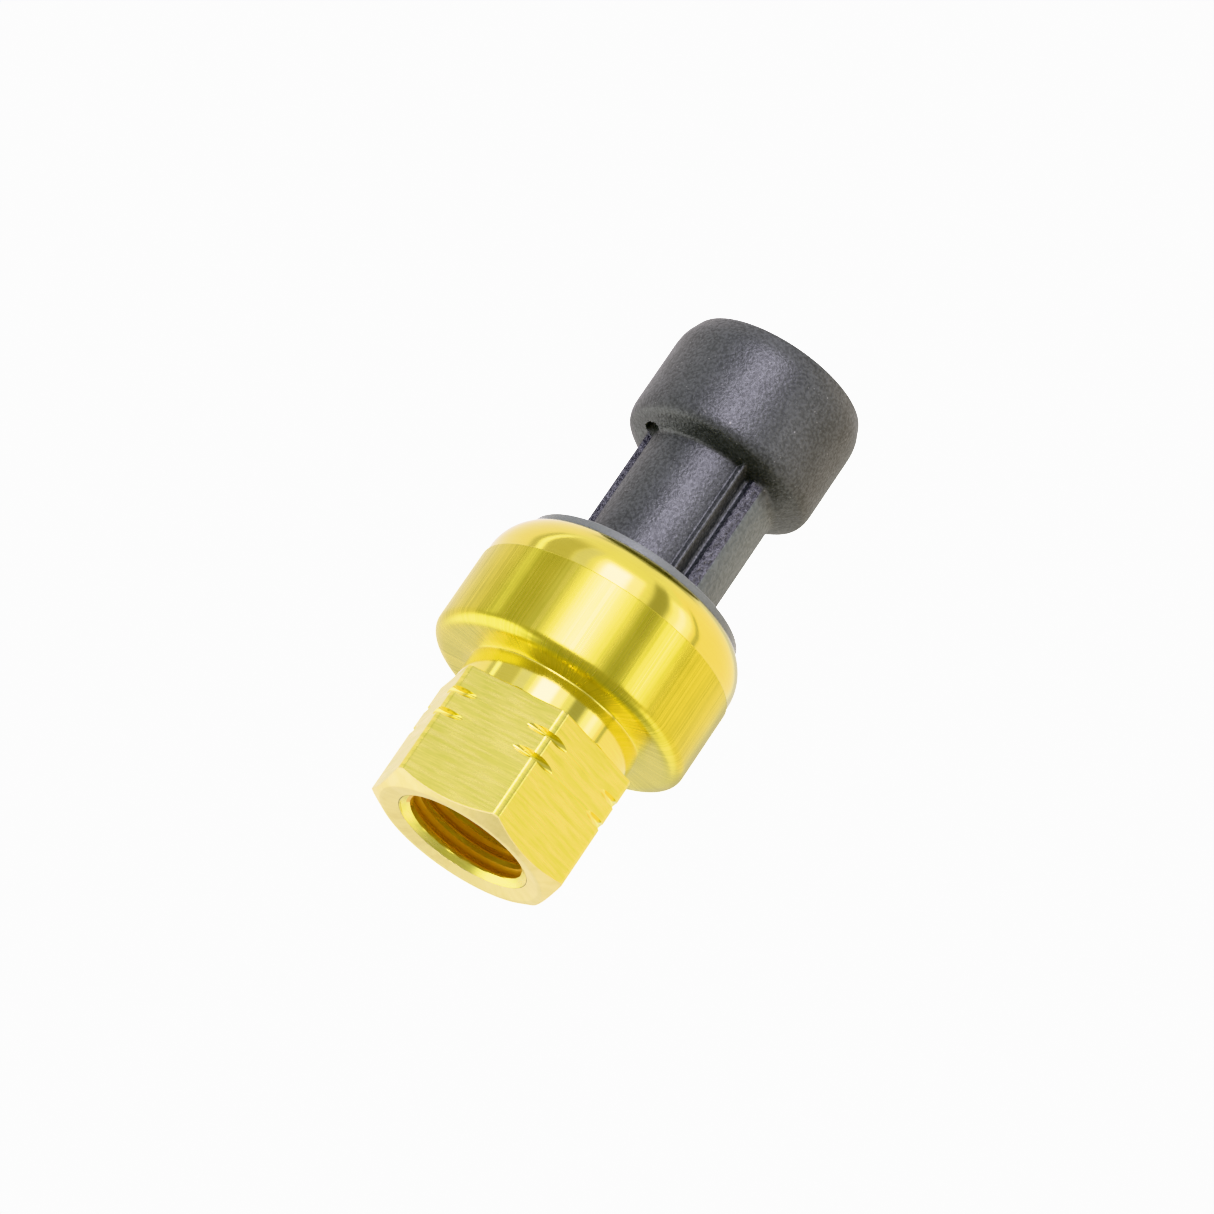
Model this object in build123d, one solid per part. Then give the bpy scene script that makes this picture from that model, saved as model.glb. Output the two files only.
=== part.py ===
from build123d import *
import math
import os

# Refrigerant pressure switch: a one-piece brass port body with a female flare thread, a snap-disc
# pressure capsule and change-over contacts inside its collar, and a moulded three-way connector that
# the collar's lip is crimped over.
# Frame: millimetres, origin at the centre of the port's end face, +Z along the axis to the connector.

os.makedirs("parts", exist_ok=True)

# ---- driving dimensions: brass body ----
HEX_AF = 15.0                 # hexagon across flats
HEX_TURN = -23.8              # where the first hexagon corner stands, degrees about Z
HEX_CORNER_R = 8.52           # corners turned off at this radius
HEX_TOP = 10.5                # height of the hexagon
END_FACE_R = 7.15             # flat end face, inside the 30 degree chamfer
GROOVE_Z = (6.3, 8.3)         # two rounded marks turned across the corners
GROOVE_CENTRE_R = 8.29
GROOVE_SECTION_R = 0.45
NECK_R = 7.42
COLLAR_Z0 = 13.05             # collar underside
COLLAR_R = 11.0
COLLAR_EDGE_R = 9.85          # where the rounded lower edge begins
COLLAR_EDGE_Z = 14.0
STEP_Z = 20.1                 # the collar steps in to the thinner crimp wall here
CRIMP_R = 10.87
ROLL_Z = 20.8                 # the crimp wall starts to curl in here
ROLL_R = 3.747                # outer radius of the curl
LIP_R = 9.3                   # inner edge of the crimped lip
LIP_Z = 23.85
CUP_R = 9.8                   # inside of the collar
CUP_FLOOR = 15.0

# ---- driving dimensions: port ----
THREAD_PITCH = 25.4 / 20      # 7/16-20 UNF
THREAD_MAJOR_R = 25.4 * 7 / 32
THREAD_MINOR_R = 4.97
THREAD_TOP = 8.2
THREAD_TURN = 37              # where the groove starts, degrees about Z
FACE_IN_R = 6.8               # the end face is flat down to here and dishes in to the lead-in
MOUTH_R = 5.66                # large end of the lead-in
MOUTH_Z = 0.33                # how far the dish sinks there
LEAD_TOP = 0.72               # where the lead-in runs out into the thread's crests
BORE_TOP = 9.6
SEAT_R = 4.2                  # large end of the 45 degree flare seat
SEAT_TOP_R = 2.0              # small end of it, and the bore that the depressor is pressed into
STEM_BORE_TOP = 13.0
STEM_SEAT_R = 1.8             # the depressor stops against a shoulder that leaves its vents open
STEM_R = 0.8
STEM_TIP_Z = 9.75             # its tip stands inside the flare seat, clear of the threaded bore
PASSAGE_R = 1.0
CHAMBER_R = 4.6
CHAMBER_Z = 14.2
SEAL_R = 6.55                 # centre circle of the diaphragm seal
SEAL_SECTION = 0.65

# ---- driving dimensions: pressure capsule ----
FILM = 0.15                   # diaphragm
PLATE_TOP = 16.35
BUTTON_R = 3.0
BUTTON_TOP = 16.6
DISC_R = 7.4
DISC_T = 0.25
DISC_DOME = 0.4               # the disc is domed down this much at rest
STROKE = 0.3                  # travel of the button, the pin and the disc's centre
GUIDE_Z0 = 17.25
GUIDE_TOP = 19.2
PIN_R = 1.2
CAPSULE_R = 9.7               # outer radius of the stacked capsule rings

# ---- driving dimensions: contacts ----
ROOF_Z = 23.0                 # roof of the switch cavity
CAVITY_R = 7.6
ARM_Z = 21.0                  # underside of the contact arm
ARM_T = 0.25
ARM_W = 2.4
PIVOT_X = -5.2
PIVOT_R = 0.35
CONTACT_X = 4.8
CONTACT_R = 0.9
BUTTON_H = 0.4                # height of a contact above its carrier
METAL = 0.4                   # thickness of the terminal feet

# ---- driving dimensions: connector ----
BLADE_W = 1.5
BLADE_T = 0.8
BLADE_TOP = 43.0
BLADES = {"common": (-3.2, 0.0), "no": (2.6, 2.6), "nc": (2.6, -2.6)}
FLANGE_TOP = 20.8
DOME_R = 8.6
DOME_TOP = 23.7
SEAL_TOP = 24.5
SEAL_OUT_R = 9.2
HEAD_R = 8.0
UNDER_R, UNDER_Z = 7.55, 36.1 # outer edge of the head's conical underside
UNDER_SLOPE = 0.77
RECESS_SLOPE = 0.31           # the underside rises less steeply over the recess at the front
RECESS_FROM, RECESS_TO = 194, 315   # its ends, in degrees about Z
HEAD_TOP = 45.5
HEAD_TOP_R = 7.15
SHROUD_R = 6.4                # inside of the connector cup
CUP_BOTTOM = 36.6
STALK_R = 5.6                 # convex front of the stalk
STALK_SIDE_R = 5.9            # convex right and back of the stalk

RUN = 0.06                    # radial running clearance of the sliding pieces


def solid_of_revolution(points):
    """A profile of (radius, z) corners turned about Z."""
    profile = make_face(Polyline(*[(r, 0, z) for r, z in points], close=True))
    return revolve(profile, Axis.Z)


def ring(r_out, r_in, z0, z1):
    body = Pos(0, 0, z0) * Cylinder(r_out, z1 - z0, align=(Align.CENTER, Align.CENTER, Align.MIN))
    if r_in:
        body -= Pos(0, 0, z0) * Cylinder(r_in, z1 - z0, align=(Align.CENTER, Align.CENTER, Align.MIN))
    return body


def block(x0, x1, y0, y1, z0, z1):
    return Pos((x0 + x1) / 2, (y0 + y1) / 2, (z0 + z1) / 2) * Box(x1 - x0, y1 - y0, z1 - z0)


def polar(radius, degrees):
    return radius * math.cos(math.radians(degrees)), radius * math.sin(math.radians(degrees))


# ---- brass body ----

def thread_cutter():
    """The helical groove of the port thread, a 60 degree V with a flat root."""
    slope = math.tan(math.radians(30))
    root_half = THREAD_PITCH / 24
    inner_r = THREAD_MINOR_R - 0.1
    inner_half = root_half + (THREAD_MAJOR_R - inner_r) * slope
    start = -THREAD_PITCH
    corners = [
        (inner_r, 0, start - inner_half),
        (THREAD_MAJOR_R, 0, start - root_half),
        (THREAD_MAJOR_R, 0, start + root_half),
        (inner_r, 0, start + inner_half),
    ]
    path = Pos(0, 0, start) * Helix(THREAD_PITCH, THREAD_TOP - start, THREAD_MAJOR_R)
    section = make_face(Polyline(*corners, close=True))
    return Rot(0, 0, THREAD_TURN) * sweep(section, path=path, is_frenet=True)


def mouth_cutter():
    """The dish and the lead-in, run on past the face and the thread's crests so that its edges are clean."""
    over = 0.5
    outer_r = FACE_IN_R + over * (FACE_IN_R - MOUTH_R) / MOUTH_Z
    top = LEAD_TOP + over * (LEAD_TOP - MOUTH_Z) / (MOUTH_R - THREAD_MINOR_R)
    return solid_of_revolution([
        (0, -over), (outer_r, -over), (MOUTH_R, MOUTH_Z), (THREAD_MINOR_R - over, top), (0, top),
    ])


def hexagon():
    prism = extrude(RegularPolygon(HEX_AF / 2, 6, major_radius=False, rotation=HEX_TURN), HEX_TOP)
    chamfer_z = (HEX_CORNER_R - END_FACE_R) * math.tan(math.radians(30))
    turned = solid_of_revolution([
        (0, 0), (END_FACE_R, 0), (HEX_CORNER_R, chamfer_z), (HEX_CORNER_R, HEX_TOP), (0, HEX_TOP),
    ])
    prism = prism & turned
    for z in GROOVE_Z:
        prism -= Pos(0, 0, z) * Torus(GROOVE_CENTRE_R, GROOVE_SECTION_R)
    return prism


def collar():
    """Neck, flange, cup wall and the crimped lip, as one turned profile."""
    roll_x = CRIMP_R - ROLL_R
    inner_roll = CUP_R - roll_x
    lip_angle = math.asin((LIP_Z - ROLL_Z) / ROLL_R)
    inner_angle = math.acos((LIP_R - 0.05 - roll_x) / inner_roll)

    def on_roll(radius, angle):
        return roll_x + radius * math.cos(angle), 0, ROLL_Z + radius * math.sin(angle)

    lip_out = on_roll(ROLL_R, lip_angle)
    lip_in = on_roll(inner_roll, inner_angle)
    outline = [
        Polyline((0, 0, HEX_TOP - 1), (NECK_R, 0, HEX_TOP - 1), (NECK_R, 0, COLLAR_Z0),
                 (COLLAR_EDGE_R, 0, COLLAR_Z0)),
        ThreePointArc((COLLAR_EDGE_R, 0, COLLAR_Z0), (10.72, 0, 13.33), (COLLAR_R, 0, COLLAR_EDGE_Z)),
        Polyline((COLLAR_R, 0, COLLAR_EDGE_Z), (COLLAR_R, 0, STEP_Z), (CRIMP_R, 0, STEP_Z),
                 (CRIMP_R, 0, ROLL_Z)),
        ThreePointArc((CRIMP_R, 0, ROLL_Z), on_roll(ROLL_R, lip_angle / 2), lip_out),
        Line(lip_out, lip_in),
        ThreePointArc(lip_in, on_roll(inner_roll, inner_angle / 2), (CUP_R, 0, ROLL_Z)),
        Polyline((CUP_R, 0, ROLL_Z), (CUP_R, 0, CUP_FLOOR), (0, 0, CUP_FLOOR), (0, 0, HEX_TOP - 1)),
    ]
    return revolve(make_face(Wire([e for piece in outline for e in piece.edges()])), Axis.Z)


def port_body():
    body = hexagon() + collar()
    seat_z = BORE_TOP + SEAT_R - SEAT_TOP_R
    body -= solid_of_revolution([
        (0, -1), (THREAD_MINOR_R, -1), (THREAD_MINOR_R, BORE_TOP), (SEAT_R, BORE_TOP),
        (SEAT_TOP_R, seat_z), (SEAT_TOP_R, STEM_BORE_TOP), (STEM_SEAT_R, STEM_BORE_TOP),
        (STEM_SEAT_R, STEM_BORE_TOP + 0.4), (PASSAGE_R, STEM_BORE_TOP + 0.4), (PASSAGE_R, CHAMBER_Z),
        (CHAMBER_R, CHAMBER_Z), (CHAMBER_R, CUP_FLOOR + 0.5), (0, CUP_FLOOR + 0.5),
    ])
    body -= ring(SEAL_R + 0.95, SEAL_R - 0.95, CUP_FLOOR - 2 * SEAL_SECTION, CUP_FLOOR + 0.5)
    body -= thread_cutter()
    body -= mouth_cutter()
    return body


def valve_depressor():
    """The pin that opens the valve core of the fitting the port screws on to."""
    body = ring(SEAT_TOP_R, 0, STEM_BORE_TOP - 1.0, STEM_BORE_TOP)
    body += ring(STEM_R, 0, STEM_TIP_Z + 0.5, STEM_BORE_TOP - 0.5)
    body += Pos(0, 0, STEM_TIP_Z) * Cone(0.45, STEM_R, 0.5, align=(Align.CENTER, Align.CENTER, Align.MIN))
    for k in range(3):
        x, y = polar(1.4, 90 + 120 * k)
        body -= Pos(x, y, STEM_BORE_TOP - 2) * Cylinder(0.35, 3, align=(Align.CENTER, Align.CENTER, Align.MIN))
    return body


# ---- pressure capsule ----

def chamber_seal():
    return Pos(0, 0, CUP_FLOOR - SEAL_SECTION) * Torus(SEAL_R, SEAL_SECTION)


def diaphragm():
    return ring(CAPSULE_R, 0, CUP_FLOOR, CUP_FLOOR + FILM)


def pressure_plate():
    return ring(CAPSULE_R, BUTTON_R + RUN, CUP_FLOOR + FILM, PLATE_TOP)


def pressure_button():
    body = ring(BUTTON_R, 0, CUP_FLOOR + FILM, BUTTON_TOP)
    return chamfer(body.edges().group_by(Axis.Z)[0], 0.25)


def disc_ring():
    return ring(CAPSULE_R, DISC_R + 0.25, PLATE_TOP, GUIDE_Z0)


def snap_disc():
    """A thin spherical disc, domed towards the pressure."""
    radius = (DISC_R ** 2 + DISC_DOME ** 2) / (2 * DISC_DOME)
    outer = Pos(0, 0, BUTTON_TOP + radius) * Sphere(radius)
    inner = Pos(0, 0, BUTTON_TOP + radius) * Sphere(radius - DISC_T)
    return (outer - inner) & ring(DISC_R, 0, BUTTON_TOP - 1, GUIDE_Z0 + 0.2)


def pin_guide():
    body = ring(CAPSULE_R, PIN_R + RUN, GUIDE_Z0, GUIDE_TOP)
    return body - ring(6.4, 0, GUIDE_Z0, GUIDE_Z0 + 0.5)


def transfer_pin():
    top, dome_r = ARM_Z - 0.01, 3.0
    body = ring(PIN_R, 0, BUTTON_TOP + DISC_T + 0.02, top)
    body = chamfer(body.edges().group_by(Axis.Z)[0], 0.2)
    return body & Pos(0, 0, top - dome_r) * Sphere(dome_r)


# ---- contacts ----

def contact_arm():
    """The rocker that carries the moving contact, rolled into an eye round its pivot pin."""
    eye_r = PIVOT_R + RUN / 2 + ARM_T
    eye_z = ARM_Z + ARM_T - eye_r
    plan = [
        (PIVOT_X, -ARM_W / 2), (1.6, -ARM_W / 2), (3.2, -CONTACT_R), (CONTACT_X + 1.1, -CONTACT_R),
        (CONTACT_X + 1.1, CONTACT_R), (3.2, CONTACT_R), (1.6, ARM_W / 2), (PIVOT_X, ARM_W / 2),
    ]
    body = Pos(0, 0, ARM_Z) * extrude(make_face(Polyline(*plan, close=True)), ARM_T)
    across = Rot(90, 0, 0)
    body += Pos(PIVOT_X, 0, eye_z) * across * Cylinder(eye_r, ARM_W)
    body -= Pos(PIVOT_X, 0, eye_z) * across * Cylinder(eye_r - ARM_T, ARM_W + 1)
    body -= Pos(CONTACT_X, 0, ARM_Z) * Cylinder(0.45, 2)
    return body


def pivot_z():
    return ARM_Z - PIVOT_R - RUN / 2


def pivot_pin():
    return Pos(PIVOT_X, 0, pivot_z()) * Rot(90, 0, 0) * Cylinder(PIVOT_R, ARM_W + 1.4)


def moving_contact():
    """A double-headed contact riveted through the arm, domed on both faces."""
    dome_r = 3.0
    low, high = ARM_Z - BUTTON_H, ARM_Z + ARM_T + BUTTON_H
    body = ring(0.45, 0, ARM_Z, ARM_Z + ARM_T)
    body += ring(CONTACT_R, 0, low, ARM_Z) + ring(CONTACT_R, 0, ARM_Z + ARM_T, high)
    body &= Pos(0, 0, low + dome_r) * Sphere(dome_r)
    body &= Pos(0, 0, high - dome_r) * Sphere(dome_r)
    return Pos(CONTACT_X, 0, 0) * body


def fixed_contact(z_face, z_plate):
    """A one-sided contact: its face at z_face and its shank through the plate beyond it."""
    low, high = sorted((z_face, z_plate))
    shank = (high, high + METAL) if z_plate > z_face else (low - METAL, low)
    body = ring(CONTACT_R, 0, low, high) + ring(0.5, 0, *shank)
    return Pos(CONTACT_X, 0, 0) * body


NC_FACE = ARM_Z - BUTTON_H
NC_PLATE = NC_FACE - 0.6      # top of the lower foot
LIFT = STROKE * (CONTACT_X - PIVOT_X) / -PIVOT_X
NO_FACE = ARM_Z + ARM_T + BUTTON_H + LIFT + 0.02
NO_PLATE = NO_FACE + 0.3      # underside of the upper foot


def blade(name, z0):
    x, y = BLADES[name]
    body = block(x - BLADE_W / 2, x + BLADE_W / 2, y - BLADE_T / 2, y + BLADE_T / 2, z0, BLADE_TOP)
    tip = body.edges().group_by(Axis.Z)[-1]
    return chamfer(tip, 0.3)


def foot(y_side, z0, z1):
    """The flat foot under or over the moving contact, with the hole for its fixed contact."""
    x, y = BLADES["no"]
    y_far = y + BLADE_T / 2
    plate = block(x - BLADE_W / 2, CONTACT_X + 1.15, -1.1, y_far, z0, z1)
    plate -= Pos(CONTACT_X, 0, (z0 + z1) / 2) * Cylinder(0.5, 2)
    return plate if y_side > 0 else mirror(plate, about=Plane.XZ)


def no_terminal():
    return blade("no", NO_PLATE) + foot(1, NO_PLATE, NO_PLATE + METAL)


def nc_terminal():
    return blade("nc", NC_PLATE - METAL) + foot(-1, NC_PLATE - METAL, NC_PLATE)


def common_terminal():
    """The centre blade, cranked over the arm to the two ears that hold the pivot pin."""
    x, _ = BLADES["common"]
    bar_z = ROOF_Z - METAL
    ear_in, ear_out = ARM_W / 2 + 0.1, ARM_W / 2 + 0.5
    body = blade("common", bar_z)
    body += block(PIVOT_X - 0.7, x + BLADE_W / 2, -ear_out, ear_out, bar_z, ROOF_Z)
    for side in (-1, 1):
        y0, y1 = sorted((side * ear_in, side * ear_out))
        body += block(PIVOT_X - 0.7, PIVOT_X + 0.7, y0, y1, pivot_z() - 0.7, ROOF_Z)
    body -= Pos(PIVOT_X, 0, pivot_z()) * Rot(90, 0, 0) * Cylinder(PIVOT_R, 8)
    return body


def return_spring():
    """The coil spring between the cranked terminal and the arm."""
    x, coil_r, wire_r, turns = -3.3, 0.75, 0.11, 4
    z0, z1 = ARM_Z + ARM_T + wire_r, ROOF_Z - METAL - wire_r
    path = Pos(x, 0, z0) * Helix((z1 - z0) / turns, z1 - z0, coil_r)
    section = Plane(path @ 0, z_dir=path % 0) * Circle(wire_r)
    return sweep(section, path=path, is_frenet=True)


# ---- connector ----

def stalk_outline():
    """The stalk's section: a convex front, a ridge with a groove beside it, and a stepped flat."""
    step_y, side_x = -0.6, 5.41
    ridge_x, ridge_y = 1.16, -5.98
    groove_x, groove_y = (2.12, 2.40), -4.42
    flat_x, flat_y = (2.82, 3.75), -4.85
    front_left = (-side_x, -math.sqrt(STALK_R ** 2 - side_x ** 2))
    front_right = (ridge_x, -math.sqrt(STALK_R ** 2 - ridge_x ** 2))
    side_top = (flat_x[1], flat_y)
    side_end = (STALK_SIDE_R, step_y)
    left_end = (-STALK_SIDE_R, step_y)
    return Wire([
        *Polyline(left_end, (-side_x, step_y), front_left).edges(),
        ThreePointArc(front_left, polar(STALK_R, 240), front_right),
        *Polyline(front_right, (ridge_x + 0.22, ridge_y), (ridge_x + 0.44, ridge_y), (ridge_x + 0.68, -5.05),
                  (groove_x[0], groove_y), (groove_x[1], groove_y), (flat_x[0], flat_y), side_top).edges(),
        ThreePointArc(side_top, polar(6.0, -28), side_end),
        ThreePointArc(side_end, (0, STALK_SIDE_R), left_end),
    ])


def stalk():
    return Pos(0, 0, DOME_TOP - 0.2) * extrude(make_face(stalk_outline()), 12.2)


def head():
    """The round shroud that the mating plug enters."""
    inner_r = 4.2

    def under(r, slope):
        return (r, 0, UNDER_Z - (UNDER_R - r) * slope)

    low = under(inner_r, UNDER_SLOPE)
    outline = [
        Polyline((0, 0, low[2]), low, under(UNDER_R, 0)),
        ThreePointArc(under(UNDER_R, 0), (7.87, 0, 36.5), (HEAD_R, 0, 37.0)),
        Line((HEAD_R, 0, 37.0), (HEAD_R, 0, 43.3)),
        ThreePointArc((HEAD_R, 0, 43.3), (7.95, 0, 43.87), (7.8, 0, 44.35)),
        Polyline((7.8, 0, 44.35), (7.4, 0, 45.27), (HEAD_TOP_R, 0, HEAD_TOP), (SHROUD_R + 0.25, 0, HEAD_TOP),
                 (SHROUD_R, 0, HEAD_TOP - 0.25), (SHROUD_R, 0, CUP_BOTTOM), (0, 0, CUP_BOTTOM), (0, 0, low[2])),
    ]
    body = revolve(make_face(Wire([e for piece in outline for e in piece.edges()])), Axis.Z)
    wedge = make_face(Polyline((inner_r, 0, low[2] - 1), low, under(UNDER_R, 0), under(inner_r, RECESS_SLOPE),
                               (inner_r - 1, 0, low[2] - 1), close=True))
    return body - Rot(0, 0, RECESS_FROM) * revolve(wedge, Axis.Z, revolution_arc=RECESS_TO - RECESS_FROM)


def latch_lug():
    """The ramped catch on the back of the head that holds the plug's latch."""
    side = [(7.0, 39.6), (9.3, 39.6), (9.3, 40.4), (7.9, 43.2), (7.0, 43.2)]
    profile = make_face(Polyline(*[(0, y, z) for y, z in side], close=True))
    return extrude(profile, 2.1, both=True, dir=(1, 0, 0))


def connector_housing():
    body = ring(CAPSULE_R, 0, GUIDE_TOP, FLANGE_TOP) + ring(DOME_R, 0, FLANGE_TOP, DOME_TOP)
    body += stalk() + head() + latch_lug()
    for degrees, width in ((50, 0.9), (130, 0.9), (270, 1.6)):
        rib = block(SHROUD_R - 0.45, SHROUD_R + 0.3, -width / 2, width / 2, CUP_BOTTOM, HEAD_TOP - 1.2)
        body += Rot(0, 0, degrees) * rib
    body -= ring(CAVITY_R, 0, GUIDE_TOP, ROOF_Z)
    for x, y in BLADES.values():
        body -= block(x - BLADE_W / 2, x + BLADE_W / 2, y - BLADE_T / 2, y + BLADE_T / 2, ROOF_Z, CUP_BOTTOM)
    return body


def environmental_seal():
    """The grey ring that the lip is rolled down on."""
    roll_x = CRIMP_R - ROLL_R
    inner_roll = CUP_R - 0.1 - roll_x
    reach = math.acos((SEAL_OUT_R - roll_x) / inner_roll)

    def on_roll(angle):
        return roll_x + inner_roll * math.cos(angle), 0, ROLL_Z + inner_roll * math.sin(angle)

    hole_r = 4.0
    outline = [
        Line((DOME_R, 0, FLANGE_TOP), (CUP_R - 0.1, 0, FLANGE_TOP)),
        ThreePointArc(on_roll(0), on_roll(reach / 2), on_roll(reach)),
        Polyline(on_roll(reach), (SEAL_OUT_R, 0, SEAL_TOP), (hole_r, 0, SEAL_TOP), (hole_r, 0, DOME_TOP),
                 (DOME_R, 0, DOME_TOP), (DOME_R, 0, FLANGE_TOP)),
    ]
    body = revolve(make_face(Wire([e for piece in outline for e in piece.edges()])), Axis.Z)
    return body - stalk()


PARTS = {
    "port_body": port_body,
    "valve_depressor": valve_depressor,
    "chamber_seal": chamber_seal,
    "diaphragm": diaphragm,
    "pressure_plate": pressure_plate,
    "pressure_button": pressure_button,
    "disc_ring": disc_ring,
    "snap_disc": snap_disc,
    "pin_guide": pin_guide,
    "transfer_pin": transfer_pin,
    "contact_arm": contact_arm,
    "pivot_pin": pivot_pin,
    "moving_contact": moving_contact,
    "no_contact": lambda: fixed_contact(NO_FACE, NO_PLATE),
    "nc_contact": lambda: fixed_contact(NC_FACE, NC_PLATE),
    "no_terminal": no_terminal,
    "nc_terminal": nc_terminal,
    "common_terminal": common_terminal,
    "return_spring": return_spring,
    "connector_housing": connector_housing,
    "environmental_seal": environmental_seal,
}

for name, make in PARTS.items():
    shape = make()
    shape = Part() + shape
    print(name, len(shape.solids()), round(shape.volume, 2), shape.is_valid)
    export_step(shape, f"parts/{name}.step")
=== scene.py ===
import bmesh
import bpy
import math
from mathutils import Matrix, Vector


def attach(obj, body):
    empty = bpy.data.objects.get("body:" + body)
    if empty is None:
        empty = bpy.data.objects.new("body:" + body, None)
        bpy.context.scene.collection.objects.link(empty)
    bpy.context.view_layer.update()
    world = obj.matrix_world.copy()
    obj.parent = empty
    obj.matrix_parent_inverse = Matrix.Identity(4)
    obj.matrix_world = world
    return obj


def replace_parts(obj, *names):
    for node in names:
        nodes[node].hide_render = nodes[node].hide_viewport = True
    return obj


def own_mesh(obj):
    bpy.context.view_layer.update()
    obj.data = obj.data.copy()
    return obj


# Looks of a brass pressure switch. Lengths here are in millimetres and angles in degrees unless a name
# says otherwise; MM turns them into the frame's metres. Angles of the part are about Z from +X. In the
# studio, azimuth is about Z from -Y, the side that faces the camera, towards +X.

MM = 0.001

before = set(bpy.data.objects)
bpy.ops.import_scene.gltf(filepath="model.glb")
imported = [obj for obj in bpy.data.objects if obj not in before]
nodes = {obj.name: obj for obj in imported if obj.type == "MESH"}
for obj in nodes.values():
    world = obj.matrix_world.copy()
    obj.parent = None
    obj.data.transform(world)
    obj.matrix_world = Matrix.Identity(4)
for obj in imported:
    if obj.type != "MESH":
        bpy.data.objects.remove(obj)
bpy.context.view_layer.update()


# ---- driving dimensions, as in the CAD unless a comment says otherwise ----

HEX_FLAT = 7.5                # axis to a flat of the hexagon
HEX_CORNER = 8.52             # corners turned off at this radius
HEX_CORNER_AT = -23.8         # where the first corner stands
HEX_EDGE = 0.025              # rounding of the corners' edges
HEX_TOP = 10.5
END_R = 7.15                  # the end's chamfer starts here
CHAMFER = 30.0                # its slope off the end face
GROOVE_MIDDLE, GROOVE_SECTION = 8.29, 0.45   # the turned marks are rounded grooves
GROOVE_SLIM = 0.7             # and narrower along the axis than in the CAD by this much
GROOVES_Z = (6.3, 8.3)
NECK_R = 7.42
COLLAR_Z, COLLAR_R = 13.05, 11.0
COLLAR_EDGE_IN, COLLAR_EDGE_UP = 1.35, 1.03  # how far its rounded lower edge reaches
COLLAR_EDGE_FULL = 2.2        # and its fullness, where 2 is an ellipse
STEP_Z, CRIMP_R = 20.1, 10.87
ROLL_Z, ROLL_R = 20.8, 3.747
LIP_R, LIP_Z = 9.3, 23.85
CUP_R, CUP_FLOOR = 9.8, 15.0
PITCH, MAJOR_R, MINOR_R = 1.27, 5.556, 4.97
THREAD_TOP, THREAD_TURN = 8.2, 37.0
THREAD_FADE = 0.5             # the groove runs out over this height
BORE_TOP = 9.6
FACE_R, DISH_R, DISH_Z = 6.8, 5.66, 0.33     # the flat end face dishes in to the countersink
MOUTH_TOP = 0.72              # where the countersink runs out into the thread
THREAD_LOW, THREAD_HIGH = DISH_Z + 0.02, THREAD_TOP + 0.3   # ends of the threaded wall
SEAT_R, SEAT_TOP_R = 4.2, 2.0
STEM_BORE_TOP, STEM_SEAT_R = 13.0, 1.8
PASSAGE_R, CHAMBER_R, CHAMBER_Z = 1.0, 4.6, 14.2
RING_IN, RING_OUT, RING_FLOOR = 5.6, 7.5, 13.7
SEAL_TOP, SEAL_R = 24.5, 9.2
DOME_R, DOME_TOP = 8.6, 23.7
FLANGE_R, FLANGE_Z, FLANGE_TOP = 9.7, 19.2, 20.8
CAVITY_R, ROOF_Z = 7.6, 23.0
STALK_FRONT, STALK_BACK = 5.6, 5.9           # radii of the stalk's front and back
STEP_Y, SIDE_X = -0.6, 5.41                  # the step on its left side
RIDGE_LEFT, RIDGE_Y = 1.24, -5.98            # the moulded ridge down its front
GROOVE_X, GROOVE_Y = 2.24, -4.42             # and the groove beside it
FLAT_Y, FLAT_START, FLAT_END = -4.85, 2.82, 3.75
HEAD_R, HEAD_TOP = 8.0, 45.5
UNDER_R, UNDER_Z = 7.55, 36.1                # outer edge of the head's conical underside
UNDER_SLOPE, RECESS_SLOPE = 0.77, 0.31       # it is shallower over the recess at the front
RECESS_LEFT, RECESS_RIGHT = (158.0, 184.0), (336.0, 294.0)   # from the full cone to the full recess
POCKET_AT, POCKET_R, POCKET_DEEP = 195.0, 6.0, 1.0           # a pocket in the underside
POCKET_TURN, POCKET_HALF = 9.0, 0.5
FILLET = 0.3                  # between the stalk and the underside
CONE_END = 7.2
CUP_INSIDE, CUP_BOTTOM = 6.4, 36.6
RIB_TOP, RIB_HEIGHT, RIB_R = 44.25, 0.45, 6.1
RIBS = ((50, 0.9), (130, 0.9), (270, 1.6))   # where each keying rib stands and its width
CATCH_HALF = 2.1
DISC_R, DISC_T, DISC_DOME, DISC_LOW, DISC_SEAT = 7.4, 0.25, 0.4, 16.6, 17.25
SPRING_X, SPRING_R, SPRING_WIRE, SPRING_TURNS = -3.3, 0.75, 0.11, 4
SPRING_LOW, SPRING_HIGH = 21.25, 22.6

HEX, END, BRIGHT, COLLAR, BORE, NECK = range(6)              # the brass body's materials
BLACK, COARSE, PAINTED_LIGHT = range(3)                               # the connector's materials


# ---- small geometry helpers ----

def polar(r, angle, z):
    """The point at radius r from the axis and at an angle about it."""
    a = math.radians(angle)
    return r * math.cos(a), r * math.sin(a), z


def heading(x, y):
    """Angle of a point about the axis, from 0 to 360."""
    return math.degrees(math.atan2(y, x)) % 360


def sweep(value, start, end):
    """Rises smoothly from 0 at start to 1 at end, and stays there."""
    t = max(0.0, min(1.0, (value - start) / (end - start)))
    return t * t * (3 - 2 * t)


def smooth_min(a, b, radius):
    """The smaller of two radii, with the corner between them rounded over about radius."""
    gap = max(radius - abs(a - b), 0.0) / radius
    return min(a, b) - gap * gap * radius * 0.25


def unit(x, y):
    length = math.hypot(x, y)
    return x / length, y / length


def curve(start, corner, end, steps):
    """Points from start to end of a curve that leaves and arrives in the direction of corner."""
    out = []
    for k in range(steps + 1):
        t = k / steps
        a, b, c = (1 - t) ** 2, 2 * t * (1 - t), t * t
        out.append((a * start[0] + b * corner[0] + c * end[0], a * start[1] + b * corner[1] + c * end[1]))
    return out


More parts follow.
